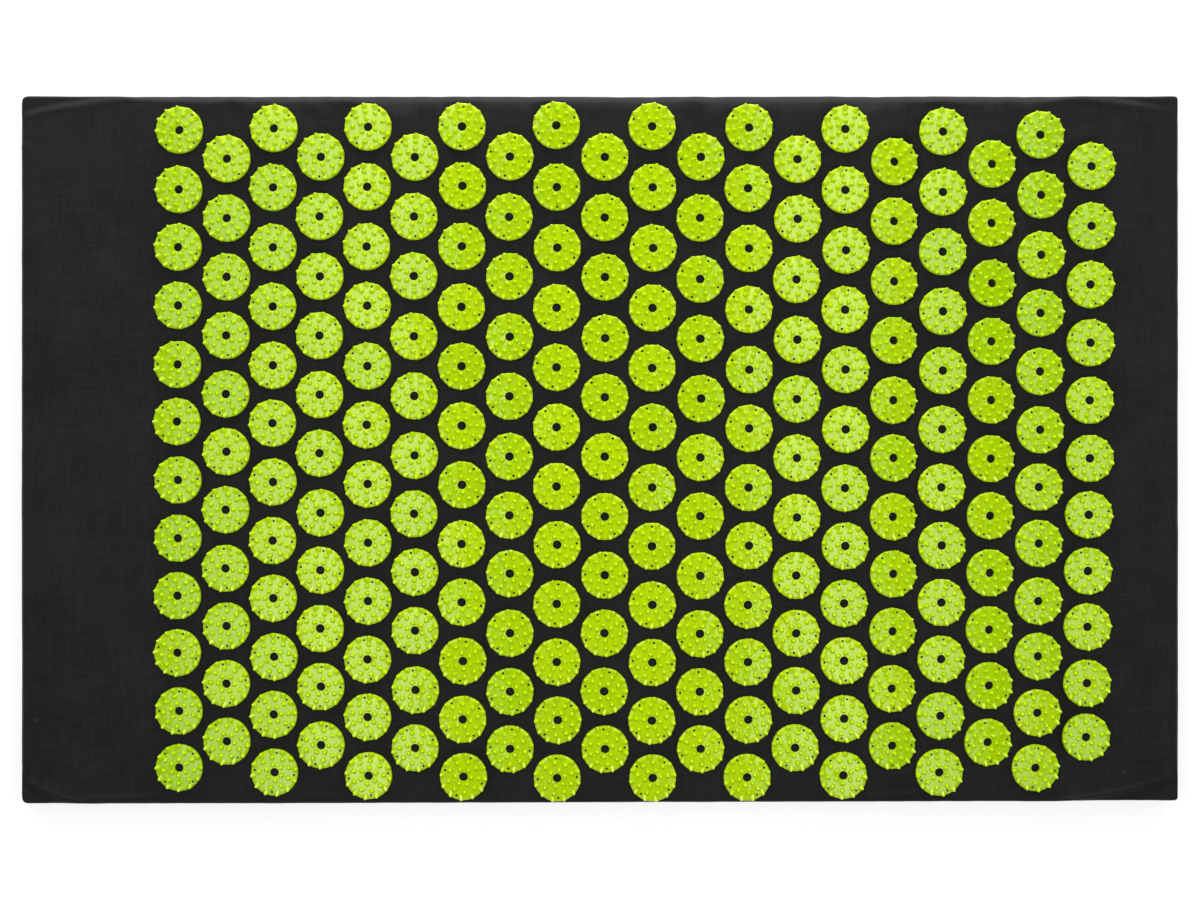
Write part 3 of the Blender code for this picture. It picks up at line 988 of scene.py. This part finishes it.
def make_plate():
    """The plate: a profile spun round, then four pin holes cut through it."""
    bm = bmesh.new()
    rim = [(13.05, 0.0), (13.26, 0.25), (13.28, 0.75)]
    top = [(r, plate_height(r * MM) / MM) for r in (13.2, 12.8, 11.5, 9.0, 6.0, 3.2)]
    wall = [(2.82, 2.05), (2.6, 2.04), (2.46, 1.85), (2.45, 0.0)]
    points = [bm.verts.new((r * MM, 0.0, z * MM)) for r, z in rim + top + wall]
    edges = [bm.edges.new(pair) for pair in zip(points, points[1:] + points[:1])]
    bmesh.ops.spin(
        bm, geom=points + edges, cent=(0, 0, 0), axis=(0, 0, 1), angle=2 * math.pi,
        steps=PLATE_STEPS, use_merge=True,
    )
    bmesh.ops.remove_doubles(bm, verts=bm.verts[:], dist=0.005 * MM)
    face_outwards(bm)
    plate = link("plate", mesh_from("plate", bm))

    bm = bmesh.new()
    for quarter in range(4):
        angle = quarter * math.pi / 2
        seat = Matrix.Translation((PIN_RING * math.cos(angle), PIN_RING * math.sin(angle), 1 * MM))
        bmesh.ops.create_cone(
            bm, cap_ends=True, segments=8, radius1=PIN_RADIUS, radius2=PIN_RADIUS,
            depth=6 * MM, matrix=seat,
        )
    pins = link("pins", mesh_from("pins", bm))
    cut = plate.modifiers.new("pin_holes", "BOOLEAN")
    cut.operation = "DIFFERENCE"
    cut.object = pins
    cut.solver = "EXACT"
    graph = bpy.context.evaluated_depsgraph_get()
    made = bpy.data.meshes.new_from_object(plate.evaluated_get(graph))
    for item in (plate, pins):
        bpy.data.objects.remove(item)
    return made


def add_spike(bm, layer, radius, angle, lean, girth, width, glow):
    """One thorn: a round foot, wider along the rim if it stands there, and a tip that leans out."""
    foot = plate_height(radius) - 0.35 * MM
    rise = SPIKE_TOP - foot
    made = bmesh.ops.create_circle(bm, cap_ends=False, segments=SPIKE_SIDES, radius=1.0)
    ring = made["verts"]
    centre = Vector((radius * math.cos(angle), radius * math.sin(angle), foot))
    outward = Vector((math.cos(angle), math.sin(angle), 0.0))
    beside = Vector((-outward.y, outward.x, 0.0))

    def settle(verts, share, size):
        middle = centre + Vector((0, 0, rise * share)) + outward * lean * share
        stretch = 1 + (width - 1) * (1 - share)
        for vert in verts:
            direction = vert.co.copy()
            direction.z = 0.0
            direction.normalize()
            along = outward * direction.dot(outward) + beside * direction.dot(beside) * stretch
            vert.co = middle + along * size
            # glow brightens this ring's colour, and only 0.4 of it at the foot: painted light on
            # the spike
            vert[layer] = glow if share > 0.12 else 0.4 * glow

    # how far up each ring is, and its radius in millimetres
    levels = ((0.0, 1.82), (0.27, 1.25), (0.76, 0.64))
    rings = [ring]
    edges = list({edge for vert in ring for edge in vert.link_edges})
    for _ in levels[1:]:
        out = bmesh.ops.extrude_edge_only(bm, edges=edges)
        rings.append([v for v in out["geom"] if isinstance(v, bmesh.types.BMVert)])
        edges = [e for e in out["geom"] if isinstance(e, bmesh.types.BMEdge)]
    out = bmesh.ops.extrude_edge_only(bm, edges=edges)
    last = [v for v in out["geom"] if isinstance(v, bmesh.types.BMVert)]
    for verts, (share, size) in zip(rings, levels):
        settle(verts, share, size * girth * MM)
    settle(last, 1.0, 0.05 * MM)
    tip = centre + Vector((0, 0, rise)) + outward * lean
    bmesh.ops.pointmerge(bm, verts=last, merge_co=tip)


def make_disc_mesh():
    """The whole disc: the plate and its 27 spikes, with a spike mask that paints the spikes and the
    hole's rim brighter, as painted light, and makes them a little rougher.
    """
    bm = bmesh.new()
    layer = bm.verts.layers.float.new("spike")
    bm.verts.layers.float.new("batch")
    bm.from_mesh(make_plate())
    # the rounded lip round the hole gets the spikes' brighter colour: a painted highlight
    for vert in bm.verts:
        if math.hypot(vert.co.x, vert.co.y) < 2.9 * MM and vert.co.z > 1.8 * MM:
            vert[layer] = 0.8
    # how many spikes, radius, first angle, lean, girth, width along the rim, and brightness, the
    # painted light added to their colour
    rings = (
        (6, 4.5, 45, 0.0, 1.0, 1.0, 1.0),
        (9, 8.6, 25, 0.1, 1.0, 1.0, 1.0),
        (12, 11.65, 15, 1.4, 1.1, 1.12, 0.7),
    )
    for count, radius, first, lean, girth, width, glow in rings:
        for k in range(count):
            angle = math.radians(first + 360 / count * k)
            add_spike(bm, layer, radius * MM, angle, lean * MM, girth, width, glow)
    face_outwards(bm)
    return mesh_from("disc", bm)


def make_disc_columns():
    disc_mesh = make_disc_mesh()
    for number, name in enumerate(DISC_COLUMNS):
        bm = bmesh.new()
        bm.verts.layers.float.new("spike")
        batch = bm.verts.layers.float.new("batch")
        for disc in [d for d in DISCS if d["column"] == number]:
            start = len(bm.verts)
            bm.from_mesh(disc_mesh)
            bm.verts.ensure_lookup_table()
            new = bm.verts[start:]
            turn = disc["tilt"] @ Matrix.Rotation(disc["spin"], 4, "Z")
            seat = Matrix.Translation((disc["x"], disc["y"], disc["z"]))
            bmesh.ops.transform(bm, matrix=seat @ turn, verts=new)
            for vert in new:
                vert[batch] = disc["shade"]
        piece = finish_piece(name.replace("spike_disc", "lime_disc"), bm, LIME_PLASTIC, 48)
        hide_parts(name)
        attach(piece, "mat")


make_foam()
make_back_panel()
make_top_panel()
make_disc_columns()
make_flap()
make_hook_tape()
make_loop_tape()
make_stitches()


# Camera, light and floor


PHOTO_WIDTH = 1200
FOCAL_PIXELS = 1804
CAMERA_HEIGHT = 1.042


def make_camera():
    """Straight above the mat's middle, as far off as the photograph's perspective says."""
    data = bpy.data.cameras.new("camera")
    data.sensor_width = 36.0
    data.lens = FOCAL_PIXELS / PHOTO_WIDTH * data.sensor_width
    data.clip_start = 0.01
    data.clip_end = 50.0
    camera = bpy.data.objects.new("camera", data)
    camera.location = (0.06 * MM, 0.06 * MM, CAMERA_HEIGHT)
    bpy.context.scene.collection.objects.link(camera)
    bpy.context.scene.camera = camera


def make_light(name, place, size, power, tilt=0.0):
    data = bpy.data.lights.new(name, "AREA")
    data.shape = "RECTANGLE"
    data.size, data.size_y = size
    data.energy = power
    light = bpy.data.objects.new(name, data)
    light.location = place
    light.rotation_euler = (math.radians(tilt), 0.0, 0.0)
    light.visible_camera = False
    bpy.context.scene.collection.objects.link(light)


def make_lights():
    make_light("left_inner_box", (-0.255, 0.12, 1.0), (0.16, 1.5), 2.95)
    make_light("left_outer_box", (-0.42, 0.12, 1.0), (0.17, 1.5), 2.0)
    make_light("right_inner_box", (0.26, 0.12, 1.0), (0.15, 1.5), 2.75)
    make_light("right_outer_box", (0.42, 0.12, 1.0), (0.17, 1.5), 2.1)
    make_light("back_soft_box", (0.0, 1.15, 0.22), (1.8, 0.35), 22.0, -79.0)


def shown_rays(tree):
    """The rays that see the white background: from the camera, a mirror or glass.

    Returns all of them together, and the camera's alone.
    """
    path = tree.add("ShaderNodeLightPath").outputs
    seen = tree.math("MAXIMUM", path["Is Camera Ray"], path["Is Glossy Ray"])
    return tree.math("MAXIMUM", seen, path["Is Transmission Ray"]), path["Is Camera Ray"]


def make_world():
    """A white backdrop. It lights evenly from above, and from below most on the back left.

    Glossy surfaces see it up to a dark ceiling.
    """
    world = bpy.data.worlds.new("studio")
    world.use_nodes = True
    bpy.context.scene.world = world
    tree = Tree(world.node_tree)
    seen, camera_ray = shown_rays(tree)
    direction = tree.add("ShaderNodeTexCoord").outputs["Generated"]
    height = tree.add("ShaderNodeSeparateXYZ", Vector=direction).outputs["Z"]
    wall = tree.span(height, 0.70, 0.50, 0.03, 1.0)
    plain = world.node_tree.nodes["Background"]
    plain.inputs["Color"].default_value = (1.0, 1.0, 1.0, 1.0)
    aside = tree.add("ShaderNodeVectorMath", {"operation": "DOT_PRODUCT"})
    tree.feed(aside, "0", direction)
    aside.inputs[1].default_value = (-0.6, 0.8, 0.0)
    below = tree.span(aside.outputs["Value"], -0.8, 0.8, 0.12, 0.95)
    sideways = tree.math("MULTIPLY", below, tree.math("LESS_THAN", height, 0.0))
    even = tree.math("MULTIPLY", tree.math("GREATER_THAN", height, 0.0), 0.40)
    tree.feed(plain, "Strength", tree.math("ADD", even, sideways))
    wall = tree.math("MAXIMUM", wall, camera_ray)
    shown = tree.add("ShaderNodeBackground", Strength=wall)
    shown.inputs["Color"].default_value = (1.0, 1.0, 1.0, 1.0)
    mix = tree.add("ShaderNodeMixShader")
    tree.feed(mix, "0", seen)
    tree.feed(mix, "1", plain.outputs[0])
    tree.feed(mix, "2", shown.outputs[0])
    tree.feed(world.node_tree.nodes["World Output"], "Surface", mix.outputs[0])


def make_floor():
    """A white floor that keeps a soft shadow near the mat, and is clear from below."""
    bm = bmesh.new()
    bmesh.ops.create_grid(bm, x_segments=1, y_segments=1, size=6.0)
    bmesh.ops.translate(bm, verts=bm.verts[:], vec=(0.0, 0.0, -0.1 * MM))
    floor = link("floor", mesh_from("floor", bm))
    material = bpy.data.materials.new("white_floor")
    material.use_nodes = True
    floor.data.materials.append(material)
    tree = Tree(material.node_tree)
    nodes = material.node_tree.nodes
    nodes.remove(nodes["Principled BSDF"])
    seen, camera_ray = shown_rays(tree)
    behind = tree.add("ShaderNodeNewGeometry").outputs["Backfacing"]
    shown = tree.math("MULTIPLY", seen, tree.math("SUBTRACT", 1.0, behind))
    matte = tree.add("ShaderNodeBsdfDiffuse")
    matte.inputs["Color"].default_value = (0.30, 0.30, 0.30, 1.0)
    place = tree.add("ShaderNodeTexCoord").outputs["Object"]
    away = tree.add("ShaderNodeVectorMath", {"operation": "LENGTH"}, Vector=place)
    strength = tree.span(away.outputs["Value"], 0.45, 1.1, 0.74, 1.0)
    glow = tree.add("ShaderNodeEmission", Strength=strength)
    both = tree.add("ShaderNodeAddShader")
    tree.feed(both, "0", matte.outputs[0])
    tree.feed(both, "1", glow.outputs[0])
    clear = tree.add("ShaderNodeBsdfTransparent")
    mix = tree.add("ShaderNodeMixShader")
    tree.feed(mix, "0", shown)
    tree.feed(mix, "1", clear.outputs[0])
    tree.feed(mix, "2", both.outputs[0])
    tree.feed(nodes["Material Output"], "Surface", mix.outputs[0])


make_camera()
make_lights()
make_world()
make_floor()
bpy.context.scene.view_settings.view_transform = "Standard"
